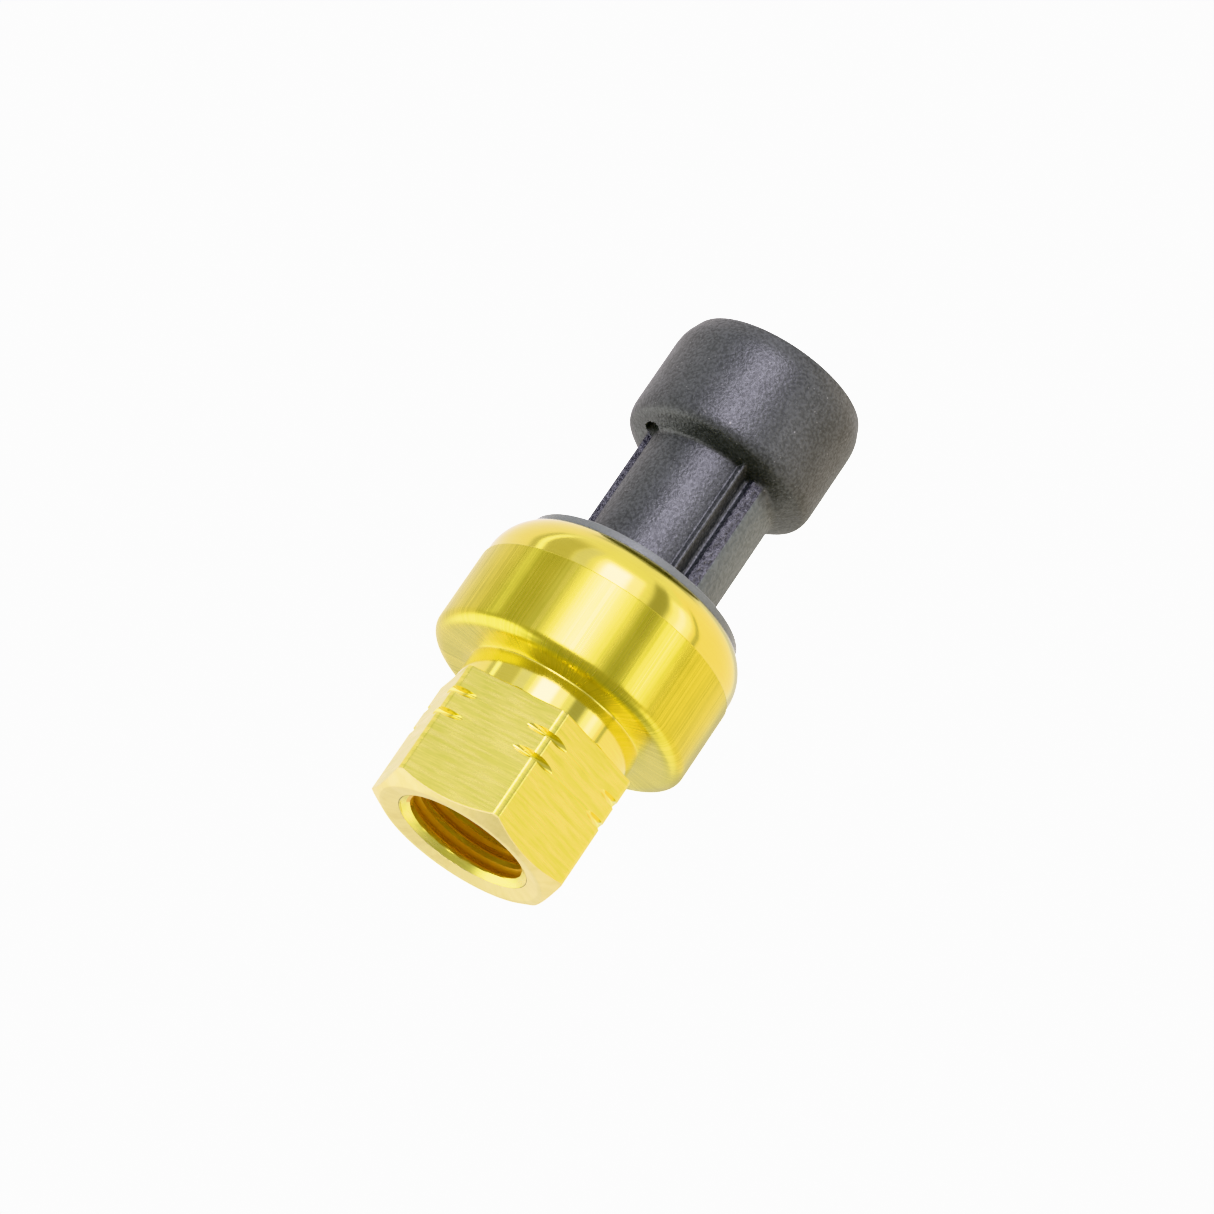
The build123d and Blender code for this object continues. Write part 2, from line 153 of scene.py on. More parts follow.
def bend(before, corner, after, steps):
    """A corner (x, y, reach) rounded between its neighbours, from reach before it to reach after it."""
    x, y, reach = corner
    ax, ay = unit(before[0] - x, before[1] - y)
    bx, by = unit(after[0] - x, after[1] - y)
    return curve((x + reach * ax, y + reach * ay), (x, y), (x + reach * bx, y + reach * by), steps)


def rounded(corners, steps=4):
    """A closed outline of corners (x, y, reach), those with a reach rounded."""
    out = []
    for i, corner in enumerate(corners):
        after = corners[(i + 1) % len(corners)]
        out += bend(corners[i - 1], corner, after, steps) if corner[2] else [corner[:2]]
    return out


def bevel_profile(corners, steps=3):
    """An open profile of corners (r, z, reach), those with a reach rounded."""
    out = []
    for i, corner in enumerate(corners):
        out += bend(corners[i - 1], corner, corners[i + 1], steps) if corner[2] else [corner[:2]]
    return out


def arc(cr, cz, radius, start, end, steps):
    """Points of an arc in a profile, angles from +r towards +z."""
    angles = [math.radians(start + (end - start) * k / steps) for k in range(steps + 1)]
    return [(cr + radius * math.cos(a), cz + radius * math.sin(a)) for a in angles]


class Skin:
    """A surface made of rings of points. Rings may have one point, a pole."""

    WELD = 0.0008             # points closer than this become one
    SHARP = 32.0              # edges that turn more than this stay crisp

    def __init__(self):
        self.points, self.faces, self.slots = [], [], []

    def ring(self, points):
        start = len(self.points)
        self.points += points
        return list(range(start, start + len(points)))

    def join(self, low, high, slot):
        """Faces between two closed rings, either of which may be a pole."""
        count = max(len(low), len(high))
        for i in range(count):
            j = (i + 1) % count
            face = []
            for v in (low[i % len(low)], low[j % len(low)], high[j % len(high)], high[i % len(high)]):
                if v not in face:
                    face.append(v)
            if len(face) > 2:
                self.faces.append(face)
                self.slots.append(slot)

    def stack(self, rings, slots, closed=False):
        """Joins each ring to the next; slots gives the material of each band."""
        kept = [self.ring(r) for r in rings]
        for i in range(len(kept) - 1):
            self.join(kept[i], kept[i + 1], slots[i])
        if closed:
            self.join(kept[-1], kept[0], slots[-1])

    def build(self, name, materials):
        mesh = bpy.data.meshes.new(name)
        mesh.from_pydata([(x * MM, y * MM, z * MM) for x, y, z in self.points], [], self.faces)
        for m in materials:
            mesh.materials.append(m)
        mesh.polygons.foreach_set("material_index", self.slots)
        work = bmesh.new()
        work.from_mesh(mesh)
        bmesh.ops.remove_doubles(work, verts=work.verts, dist=self.WELD * MM)
        bmesh.ops.dissolve_degenerate(work, edges=work.edges, dist=self.WELD * MM)
        bmesh.ops.recalc_face_normals(work, faces=work.faces)
        work.to_mesh(mesh)
        work.free()
        mesh.shade_smooth()
        mesh.set_sharp_from_angle(angle=math.radians(self.SHARP))
        piece = bpy.data.objects.new(name, mesh)
        bpy.context.scene.collection.objects.link(piece)
        return piece


# ---- materials ----

class Shader:
    """A node material with one Principled shader, with helpers for its procedural detail."""

    def __init__(self, name):
        self.material = bpy.data.materials.new(name)
        self.material.use_nodes = True
        self.tree = self.material.node_tree
        self.bsdf = next(n for n in self.tree.nodes if n.type == "BSDF_PRINCIPLED")

    def node(self, kind, **inputs):
        n = self.tree.nodes.new(kind)
        for key, value in inputs.items():
            n.inputs[key.replace("_", " ")].default_value = value
        return n

    def link(self, a, b):
        self.tree.links.new(a, b)

    def set(self, **values):
        for key, value in values.items():
            self.bsdf.inputs[key.replace("_", " ")].default_value = value

    def place(self, scale=1.0):
        """Object coordinates in millimetres, times scale."""
        coords = self.node("ShaderNodeTexCoord")
        mapping = self.node("ShaderNodeMapping")
        mapping.inputs["Scale"].default_value = [scale / MM] * 3
        self.link(coords.outputs["Object"], mapping.inputs["Vector"])
        return mapping.outputs["Vector"]

    def axis(self, letter):
        """One of the object coordinates, in millimetres."""
        split = self.node("ShaderNodeSeparateXYZ")
        self.link(self.place(), split.inputs[0])
        return split.outputs[letter]

    def around(self, per_turn, along):
        """Coordinates that run round the axis and along it, for turned and drawn surfaces."""
        coords = self.node("ShaderNodeTexCoord")
        split = self.node("ShaderNodeSeparateXYZ")
        self.link(coords.outputs["Object"], split.inputs[0])
        flat = self.node("ShaderNodeCombineXYZ")
        self.link(split.outputs["X"], flat.inputs["X"])
        self.link(split.outputs["Y"], flat.inputs["Y"])
        direction = self.node("ShaderNodeVectorMath")
        direction.operation = "NORMALIZE"
        self.link(flat.outputs[0], direction.inputs[0])
        scaled = self.node("ShaderNodeVectorMath")
        scaled.operation = "SCALE"
        scaled.inputs["Scale"].default_value = per_turn
        self.link(direction.outputs[0], scaled.inputs[0])
        tall = self.node("ShaderNodeMath")
        tall.operation = "MULTIPLY"
        tall.inputs[1].default_value = along / MM
        self.link(split.outputs["Z"], tall.inputs[0])
        high = self.node("ShaderNodeCombineXYZ")
        self.link(tall.outputs[0], high.inputs["Z"])
        total = self.node("ShaderNodeVectorMath")
        total.operation = "ADD"
        self.link(scaled.outputs[0], total.inputs[0])
        self.link(high.outputs[0], total.inputs[1])
        return total.outputs[0]

    def noise(self, vector, scale=1.0, detail=2.0, rough=0.5):
        n = self.node("ShaderNodeTexNoise", Scale=scale, Detail=detail, Roughness=rough)
        self.link(vector, n.inputs["Vector"])
        return n.outputs["Fac"]

    def ramp(self, value, low, high, out_low=0.0, out_high=1.0):
        n = self.node("ShaderNodeMapRange", From_Min=low, From_Max=high, To_Min=out_low, To_Max=out_high)
        self.link(value, n.inputs["Value"])
        return n.outputs[0]

    def mix(self, factor, a, b):
        n = self.tree.nodes.new("ShaderNodeMix")
        n.data_type = "RGBA"
        self.link(factor, n.inputs[0])
        for socket, colour in ((n.inputs[6], a), (n.inputs[7], b)):
            if isinstance(colour, bpy.types.NodeSocket):
                self.link(colour, socket)
            else:
                socket.default_value = (*colour, 1)
        return n.outputs[2]

    def add(self, a, b):
        n = self.tree.nodes.new("ShaderNodeMath")
        n.operation = "ADD"
        self.link(a, n.inputs[0])
        self.link(b, n.inputs[1])
        return n.outputs[0]

    def bump(self, height, depth):
        """Bump from a height of 0 to 1 that is depth millimetres deep."""
        n = self.node("ShaderNodeBump", Distance=depth * MM)
        self.link(height, n.inputs["Height"])
        return n.outputs["Normal"]

    def colour(self, socket):
        self.link(socket, self.bsdf.inputs["Base Color"])

    def roughness(self, socket):
        self.link(socket, self.bsdf.inputs["Roughness"])

    def normal(self, socket):
        self.link(socket, self.bsdf.inputs["Normal"])


BRASS = (0.88, 0.76, 0.115)
BRASS_DEEP = (0.82, 0.69, 0.095)


def brass(name, rough, colour=BRASS, deep=BRASS_DEEP, around=40.0, along=0.3, depth=0.002, spread=0.08,
          brushed=0.0, metal=1.0, coat=0.6, streaks=0.5):
    """Worked brass. around and along set how long its marks are each way, streaks how much of its
    colour follows them, and brushed how strongly they stretch its highlights."""
    s = Shader(name)
    s.set(Metallic=metal, Anisotropic=brushed, Anisotropic_Rotation=0.25, Coat_Weight=coat,
          Coat_Roughness=0.12 if rough < 0.2 else 0.3)
    tangent = s.node("ShaderNodeTangent")
    tangent.direction_type = "RADIAL"
    tangent.axis = "Z"
    s.link(tangent.outputs[0], s.bsdf.inputs["Tangent"])
    marks = s.noise(s.around(around, along), 1.0, 3.0, 0.6)
    cloud = s.noise(s.place(), 0.35, 3.0, 0.5)
    tone = s.add(s.ramp(cloud, 0.3, 0.7, 0.0, 1 - streaks), s.ramp(marks, 0.38, 0.62, 0.0, streaks))
    s.colour(s.mix(tone, colour, deep))
    s.roughness(s.ramp(marks, 0.3, 0.7, rough - spread / 2, rough + spread / 2))
    s.normal(s.bump(marks, depth))
    return s.material


def plain(name, colour, darker, rough, metallic=0.0, scale=3.0, depth=0.003, sheen=0.0):
    """A plain technical surface: two close tones, uneven roughness and a slight texture."""
    s = Shader(name)
    s.set(Metallic=metallic, Sheen_Weight=sheen, Sheen_Roughness=0.35)
    grain = s.noise(s.place(), scale, 3.0, 0.55)
    s.colour(s.mix(s.ramp(grain, 0.3, 0.7), colour, darker))
    s.roughness(s.ramp(grain, 0.3, 0.7, rough - 0.05, rough + 0.05))
    s.normal(s.bump(grain, depth))
    return s.material


collar_brass = brass("collar_brass", 0.29, colour=(0.72, 0.62, 0.088), deep=(0.50, 0.45, 0.052), streaks=0.7,
                     around=60.0, along=0.06, depth=0.0015, spread=0.10, brushed=0.5, coat=0.2)
bright_brass = brass("bright_brass", 0.13, around=4.0, along=9.0, depth=0.0008, spread=0.05,
                     brushed=0.4, coat=1.0)
hex_brass = brass("hex_brass", 0.30, colour=(0.94, 0.82, 0.21), deep=(0.66, 0.62, 0.11), streaks=0.75,
                  around=2.2, along=3.4, depth=0.006, spread=0.16, brushed=0.7, coat=0.3)
end_brass = brass("end_brass", 0.55, colour=(0.86, 0.75, 0.38), deep=(0.74, 0.64, 0.28),
                  around=10.0, along=2.0, depth=0.003, coat=0.3)
neck_brass = brass("neck_brass", 0.10, colour=(0.95, 0.84, 0.16), deep=(0.90, 0.78, 0.13), around=4.0,
                   along=9.0, depth=0.0006, spread=0.04, brushed=0.3, coat=1.0)
# painted shade: a darker, oranger copy of the brass for the inside of the port
shaded_bore_brass = brass("shaded_bore_brass", 0.30, colour=(0.78, 0.49, 0.045), deep=(0.70, 0.41, 0.035),
                   around=1.0, along=12.0, depth=0.002, metal=0.5, coat=0.3)
stem_brass = brass("stem_brass", 0.25, colour=(0.78, 0.62, 0.14), deep=(0.70, 0.54, 0.10))


DARK_TONES = ((0.021, 0.024, 0.021), (0.069, 0.074, 0.071))
COARSE_TONES = ((0.014, 0.015, 0.017), (0.086, 0.087, 0.096))
# painted light: paler tones for the stalk's right flank, on the side the light falls from
PAINTED_LIGHT_TONES = ((0.070, 0.084, 0.080), (0.118, 0.134, 0.130))
FIBRE = (0.20, 0.20, 0.19)
PLASTIC_ROUGH = 0.43
# painted shade: the painted light gives way to the dark tones under the head and towards the back
PAINTED_SHADE_Z, PAINTED_SHADE_Y = (33.9, 35.3), (-2.0, 0.9)   # the pale tones end under the head and towards the back


def moulded(name, grain_size, grain_depth, tones, painted_light_and_shade=False):
    """Glass-filled plastic: dark, with a sparkling grain of about grain_size and a few bright fibre ends.
    One with painted light and shade is paler all over, a painted light, and takes the plain dark tones again
    under the head and towards the back, a painted shade."""
    s = Shader(name)
    s.set(Metallic=0.0, IOR=1.58, Sheen_Weight=0.10, Sheen_Roughness=0.35)
    grain = s.noise(s.place(), 1 / grain_size, 2.0, 0.6)
    cloud = s.noise(s.place(), 0.5, 2.0, 0.5)
    tone = s.add(s.ramp(cloud, 0.3, 0.7, 0.0, 0.3), s.ramp(grain, 0.40, 0.60, 0.0, 0.7))
    mixed = s.mix(tone, *tones)
    # painted shade: dark tones laid over the painted light under the head and towards the back
    if painted_light_and_shade:
        dark = s.mix(tone, *DARK_TONES)
        mixed = s.mix(s.ramp(s.axis("Z"), *PAINTED_SHADE_Z), mixed, dark)
        mixed = s.mix(s.ramp(s.axis("Y"), *PAINTED_SHADE_Y), mixed, dark)
    fibres = s.ramp(s.noise(s.place(), 5.0, 0.0), 0.82, 0.86)
    s.colour(s.mix(fibres, mixed, FIBRE))
    s.roughness(s.ramp(grain, 0.3, 0.7, PLASTIC_ROUGH + 0.05, PLASTIC_ROUGH - 0.05))
    s.normal(s.bump(grain, grain_depth))
    return s.material


black_plastic = moulded("black_plastic", 0.24, 0.055, DARK_TONES)
coarse_plastic = moulded("coarse_plastic", 0.34, 0.24, COARSE_TONES)
# painted light: a paler copy of the moulding for the stalk's lit right flank, with painted shade under the
# head
painted_light_plastic = moulded("painted_light_plastic", 0.34, 0.07, PAINTED_LIGHT_TONES, painted_light_and_shade=True)
grey_rubber = plain("grey_rubber", (0.146, 0.158, 0.148), (0.122, 0.134, 0.124), 0.50,
                    scale=6.0, depth=0.006, sheen=0.9)
black_rubber = plain("black_rubber", (0.020, 0.020, 0.022), (0.012, 0.012, 0.013), 0.55)
film = plain("amber_film", (0.62, 0.27, 0.05), (0.55, 0.22, 0.04), 0.30, depth=0.001)
steel = plain("steel", (0.56, 0.56, 0.58), (0.48, 0.48, 0.50), 0.32, 1.0)
spring_steel = plain("spring_steel", (0.45, 0.45, 0.48), (0.38, 0.38, 0.41), 0.28, 1.0, depth=0.001)
phenolic = plain("phenolic", (0.20, 0.10, 0.04), (0.15, 0.07, 0.03), 0.50, scale=8.0)
ceramic = plain("ceramic", (0.80, 0.78, 0.73), (0.74, 0.72, 0.66), 0.50)
bronze = plain("bronze", (0.72, 0.48, 0.24), (0.64, 0.41, 0.20), 0.25, 1.0)
silver = plain("silver", (0.86, 0.86, 0.84), (0.78, 0.78, 0.77), 0.20, 1.0)
tin = plain("tin_plate", (0.70, 0.69, 0.66), (0.60, 0.59, 0.57), 0.24, 1.0, scale=2.0)


# ---- brass body ----

# Steps from the middle of a flat to its next meridians, closest together near a corner.
HEX_COLUMNS = [0, 2, 4, 6, 8, 10, 12, 14, 15.5, 16.5, 17, 17.5, 18.5, 20, 21.5, 23, 24.5, 25.5,
               26.3, 26.8, 27.1, 27.4, 27.7, 28.0, 28.4, 29.1]
# Rows across a turned mark, as parts of half its width.
GROOVE_STEPS = [-1.6, -1.12, -1.0, -0.96, -0.86, -0.7, -0.5, -0.25,
                0, 0.25, 0.5, 0.7, 0.86, 0.96, 1.0, 1.12, 1.6]
GROOVE_LEAST = 0.02           # where a mark's half width falls to this, the rows stay on the surface


def body_columns():
    """Angles of the body's meridians."""
    angles = []
    for flat in range(6):
        middle = HEX_CORNER_AT + 30 + 60 * flat
        angles += [middle - a for a in reversed(HEX_COLUMNS[1:])] + [middle + a for a in HEX_COLUMNS]
        angles.append(middle + 30)
    return sorted(a % 360 for a in angles)


def hex_radius(angle):
    """Radius of the hexagon with its turned corners."""
    off = (angle - HEX_CORNER_AT) % 60 - 30
    return smooth_min(HEX_FLAT / math.cos(math.radians(off)), HEX_CORNER, HEX_EDGE)


def groove_half(radius):
    """Half the width of a turned mark where the surface stands at that radius."""
    return GROOVE_SLIM * math.sqrt(max(GROOVE_SECTION ** 2 - (GROOVE_MIDDLE - radius) ** 2, 0.0))


def groove_radius(at):
    """Radius of a turned mark's bottom, at a distance from its middle along the axis."""
    return GROOVE_MIDDLE - math.sqrt(max(GROOVE_SECTION ** 2 - (at / GROOVE_SLIM) ** 2, 0.0))


def thread_radius(z, angle):
    """Radius of the port's wall at that height and angle: the bore, its groove and its lead-in. The
    groove is a 60 degree V whose flat root is a twelfth of the pitch wide."""
    turn = (z / PITCH - (angle - THREAD_TURN) / 360) % 1.0
    from_middle = min(turn, 1 - turn) * PITCH
    groove = MAJOR_R - max(from_middle - PITCH / 24, 0) / math.tan(math.radians(30))
    fade = max(0.0, min(1.0, (THREAD_HIGH - z) / THREAD_FADE))
    wall = MINOR_R + max(groove - MINOR_R, 0) * fade
    lead_in = DISH_R - (z - DISH_Z) * (DISH_R - MINOR_R) / (MOUTH_TOP - DISH_Z)
    return max(wall, min(lead_in, DISH_R))


def end_rows(rh):
    """The end face, from its dish over the flat ring and the chamfer to the hexagon, at radius rh."""
    slope = math.tan(math.radians(CHAMFER))
    edge_z = (rh - END_R) * slope
    bevel = 0.07
    face = [(DISH_R + 0.06, DISH_Z - 0.015), (FACE_R - 0.06, 0.017), (FACE_R, 0.004), (FACE_R + 0.06, 0),
            (END_R - 0.05, 0), (END_R, 0.006), (END_R + 0.05, 0.045 * slope + 0.006),
            (rh - bevel, edge_z - bevel * slope), (rh - 0.25 * bevel, edge_z - 0.05 * bevel)]
    side = [(rh, edge_z + bevel), (rh, edge_z + 3 * bevel)]
    return [(r, z, END) for r, z in face] + [(r, z, HEX) for r, z in side]


def hexagon_rows(rh):
    """The two turned marks and the hexagon's upper edge, up to the neck."""
    rows = []
    half = max(groove_half(rh), GROOVE_LEAST)
    for z in GROOVES_Z:
        for t in GROOVE_STEPS:
            cut = abs(t) < 1 and half > GROOVE_LEAST
            r = min(rh, groove_radius(half * t)) if cut else rh
            rows.append((r, z + half * t, NECK if -1 <= t < 1 else HEX))
    shoulder = max(rh - NECK_R, 0.02)
    lip = min(0.08, shoulder * 0.4)
    rows += [(rh, HEX_TOP - 3 * lip - 0.05, HEX), (rh, HEX_TOP - lip, HEX),
             (rh - 0.3 * lip, HEX_TOP - 0.3 * lip, HEX), (rh - lip, HEX_TOP, NECK),
             (NECK_R + min(0.04, shoulder * 0.3), HEX_TOP, NECK)]
    return rows


def collar_edge(steps=11):
    """The collar's rounded lower edge, from its underside to its side."""
    rows = []
    for k in range(steps + 1):
        a = math.radians(90 * k / steps)
        out = math.sin(a) ** (2 / COLLAR_EDGE_FULL)
        down = math.cos(a) ** (2 / COLLAR_EDGE_FULL)
        rows.append((COLLAR_R - COLLAR_EDGE_IN * (1 - out), COLLAR_Z + COLLAR_EDGE_UP * (1 - down)))
    return rows


def outer_profile(angle):
    """End face, hexagon, neck, collar and crimped lip along one meridian: (r, z, material) rows."""
    rh = hex_radius(angle)
    neck = [(NECK_R, z) for z in (HEX_TOP + 0.04, HEX_TOP + 0.16, 11.6, 12.8, COLLAR_Z - 0.08)]
    collar = [(NECK_R + 0.025, COLLAR_Z - 0.02), (NECK_R + 0.10, COLLAR_Z), (8.4, COLLAR_Z), (9.3, COLLAR_Z)]
    collar += collar_edge()
    collar += [(COLLAR_R, z) for z in (14.4, 16.5, 18.5, STEP_Z - 0.1)]
    collar += [(COLLAR_R - 0.006, STEP_Z - 0.04), (COLLAR_R - 0.035, STEP_Z)]
    crimp = [(CRIMP_R + 0.03, STEP_Z), (CRIMP_R, STEP_Z + 0.03), (CRIMP_R, STEP_Z + 0.12)]
    lip_angle = math.degrees(math.asin((LIP_Z - ROLL_Z) / ROLL_R))
    crimp += arc(CRIMP_R - ROLL_R, ROLL_Z, ROLL_R, 0, lip_angle, 14)[:-1]
    rows = end_rows(rh) + hexagon_rows(rh)
    for part, material in ((neck, NECK), (collar, COLLAR), (crimp, BRIGHT)):
        rows += [(r, z, material) for r, z in part]
    return rows


def inner_profile():
    """Lip, cup, seal groove, chamber, passage and flare seat, down to the top of the bore."""
    lip = [(LIP_R + 0.04, LIP_Z - 0.03), (LIP_R, LIP_Z - 0.02), (LIP_R - 0.03, LIP_Z - 0.10),
           (LIP_R - 0.03, 23.2)]
    inner_roll = CUP_R - (CRIMP_R - ROLL_R)
    top = math.degrees(math.acos((LIP_R - 0.05 - CRIMP_R + ROLL_R) / inner_roll))
    lip += arc(CRIMP_R - ROLL_R, ROLL_Z, inner_roll, top, 0, 8)
    walls = [
        (CUP_R, 20.0, 0), (CUP_R, CUP_FLOOR, 0.05), (RING_OUT, CUP_FLOOR, 0.05), (RING_OUT, RING_FLOOR, 0.1),
        (RING_IN, RING_FLOOR, 0.1), (RING_IN, CUP_FLOOR, 0.05), (CHAMBER_R, CUP_FLOOR, 0.05),
        (CHAMBER_R, CHAMBER_Z, 0.05), (PASSAGE_R, CHAMBER_Z, 0.05), (PASSAGE_R, STEM_BORE_TOP + 0.4, 0.05),
        (STEM_SEAT_R, STEM_BORE_TOP + 0.4, 0.04), (STEM_SEAT_R, STEM_BORE_TOP, 0.03),
        (SEAT_TOP_R, STEM_BORE_TOP, 0.04), (SEAT_TOP_R, BORE_TOP + SEAT_R - SEAT_TOP_R, 0.05),
        (SEAT_R, BORE_TOP, 0.05), (MINOR_R, BORE_TOP, 0.05), (MINOR_R, THREAD_TOP + 0.5, 0),
    ]
    return [(r, z, BRIGHT) for r, z in lip] + [(r, z, BORE) for r, z in bevel_profile(walls)]


# Rows across one turn of the thread, as heights from the middle of its groove; the crest starts at CREST.
CREST = 0.395
GROOVE_ROWS = [-0.485, -0.44, -0.395, -0.25, -0.10, -0.05, 0.05, 0.10, 0.25, CREST,
               0.44, 0.485, 0.56, 0.635, 0.71]
CREST_ROW = GROOVE_ROWS.index(CREST)


def thread_rows(angle):
    """Heights of one meridian's rows down the threaded wall. They follow the helix, so that the rows
    of the last meridian meet those of the first one a turn on."""
    heights = []
    for turn in range(-2, 9):
        middle = PITCH * (turn + (angle - THREAD_TURN) / 360)
        heights += [min(max(middle + h, THREAD_LOW), THREAD_HIGH) for h in GROOVE_ROWS]
    return heights


def threaded_wall(skin, angles):
    """The port's thread as its own grid; welding joins it to the rings above and below it."""
    grid = [skin.ring([polar(thread_radius(z, a), a, z) for z in thread_rows(a)]) for a in angles]
    rows, step = len(grid[0]), len(GROOVE_ROWS)
    for i, near in enumerate(grid):
        last = i == len(grid) - 1
        far = grid[(i + 1) % len(grid)]
        shift = step if last else 0
        for r in range(rows - 1):
            c = far[min(r + 1 + shift, rows - 1)]
            d = far[min(r + shift, rows - 1)]
            skin.faces.append([near[r], near[r + 1], c, d] if c != d else [near[r], near[r + 1], c])
            # painted highlight: the thread's crests and the countersink take the paler hex brass, the rest
            # of the port the darker bore brass
            painted_highlight = skin.points[near[r]][2] < MOUTH_TOP or r % step >= CREST_ROW
            skin.slots.append(HEX if painted_highlight else BORE)


def port_body():
    """The turned brass body: rings from the end face over the crimped lip down to the port's wall."""
    angles = body_columns()
    outer = [outer_profile(a) for a in angles]
    rings, slots = [], []
    for row in range(len(outer[0])):
        rings.append([polar(profile[row][0], a, profile[row][1]) for a, profile in zip(angles, outer)])
        slots.append(outer[0][row][2])
    for r, z, material in inner_profile():
        rings.append([polar(r, a, z) for a in angles])
        slots.append(material)
    rings.append([polar(thread_radius(THREAD_HIGH, a), a, THREAD_HIGH) for a in angles])
    slots.append(BORE)
    skin = Skin()
    skin.stack(rings, slots)
    mouth = [(DISH_R, THREAD_LOW), (DISH_R + 0.02, DISH_Z - 0.008), (DISH_R + 0.06, DISH_Z - 0.015)]
    skin.stack([[polar(r, a, z) for a in angles] for r, z in mouth], [END] * len(mouth))
    threaded_wall(skin, angles)
    finishes = [hex_brass, end_brass, bright_brass, collar_brass, shaded_bore_brass, neck_brass]
    piece = skin.build("port_body_turned", finishes)
    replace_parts(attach(piece, "case"), "port_body")


# ---- connector: stalk, head and flange ----

def arc_corners(radius, start, end, steps):
    """Corners that stay unrounded along an arc about the axis, its two ends left out."""
    angles = [start + (end - start) * k / steps for k in range(1, steps)]
    return [polar(radius, a, 0) for a in angles]


def stalk_outline():
    """The stalk's section as closed (x, y) points, anticlockwise from its stepped left side."""
    front_left = (-SIDE_X, -math.sqrt(STALK_FRONT ** 2 - SIDE_X ** 2))
    front_right = (RIDGE_LEFT, -math.sqrt(STALK_FRONT ** 2 - RIDGE_LEFT ** 2))
    corners = [(-STALK_BACK, STEP_Y, 0.12), (-5.66, STEP_Y, 0), (-SIDE_X, STEP_Y, 0.08), (-SIDE_X, -0.8, 0),
               (-SIDE_X, -0.95, 0), (-SIDE_X, -1.1, 0), (*front_left, 0.2)]
    corners += arc_corners(STALK_FRONT, heading(*front_left), heading(*front_right), 40)
    corners += [(*front_right, 0.12), (RIDGE_LEFT + 0.22, RIDGE_Y, 0.12), (RIDGE_LEFT + 0.44, RIDGE_Y, 0.12),
                (1.94, -5.05, 0.2), (GROOVE_X, GROOVE_Y, 0.2), (GROOVE_X + 0.32, GROOVE_Y, 0.12),
                (FLAT_START, FLAT_Y, 0.12), (3.2, FLAT_Y, 0), (FLAT_END, FLAT_Y, 0.12)]

    # the right flank swells from the flat's end into the round back
    start, end = heading(FLAT_END, FLAT_Y), heading(STALK_BACK, STEP_Y)
    start_r, end_r = math.hypot(FLAT_END, FLAT_Y), math.hypot(STALK_BACK, STEP_Y)
    steps = 24
    for k in range(1, steps):
        t = k / steps
        r = start_r + (end_r - start_r) * sweep(t, 0, 1) - 0.06 * math.sin(math.pi * t)
        corners.append(polar(r, start + (end - start) * t, 0))
    left = heading(-math.sqrt(STALK_BACK ** 2 - STEP_Y ** 2), STEP_Y)
    corners += arc_corners(STALK_BACK, end, 360 + left, 96)
    return rounded(corners)


def under_z(r, angle):
    """Height of the head's underside, with the recess at the front swept out on both sides and the
    small pocket beside the stalk's left edge."""
    recess = min(sweep(angle, *RECESS_LEFT), sweep(angle, *RECESS_RIGHT))
    slope = UNDER_SLOPE + (RECESS_SLOPE - UNDER_SLOPE) * recess
    off = math.hypot((angle - POCKET_AT) / POCKET_TURN, (r - POCKET_R) / POCKET_HALF)
    pocket = POCKET_DEEP * max(0.0, 1 - off ** 3)
    return UNDER_Z - (UNDER_R - r) * slope + pocket


def connector_columns():
    """Each meridian of the connector: its point (x, y) on the stalk and its angle on the head."""
    outline = stalk_outline()
    angles = [heading(x, y) for x, y in outline]
    start = angles.index(min(angles))
    columns = []
    last = -1.0
    for (x, y), angle in zip(outline[start:] + outline[:start], angles[start:] + angles[:start]):
        last = max(angle, last + 0.02)
        columns.append((x, y, last))
    return columns


def latch_catch():
    """The ramped catch on the back of the head, as rings across it from end to end."""
    outline = rounded([(7.0, 39.6, 0), (9.3, 39.6, 0.12), (9.3, 40.4, 0.25), (7.9, 43.2, 0.3),
                       (7.0, 43.2, 0)])
    middle = (8.1, 41.1)
    rings = [[(-CATCH_HALF, *middle)]]
    for x, inset in ((-CATCH_HALF, 0.12), (-CATCH_HALF + 0.03, 0.04), (-CATCH_HALF + 0.12, 0),
                     (CATCH_HALF - 0.12, 0), (CATCH_HALF - 0.03, 0.04), (CATCH_HALF, 0.12)):
        ring = []
        for y, z in outline:
            uy, uz = unit(y - middle[0], z - middle[1])
            ring.append((x, y - inset * uy, z - inset * uz))
        rings.append(ring)
    rings.append([(CATCH_HALF, *middle)])
    return rings


def cup_radius(angle, z):
    """Inside of the plug cup, with its keying ribs."""
    if z > RIB_TOP:
        return CUP_INSIDE
    soft = 0.6
    for middle, width in RIBS:
        off = abs(angle - middle) - math.degrees(width / 2 / RIB_R)
        if off < soft:
            return CUP_INSIDE - RIB_HEIGHT * min(1.0, (soft - off) / soft)
    return CUP_INSIDE


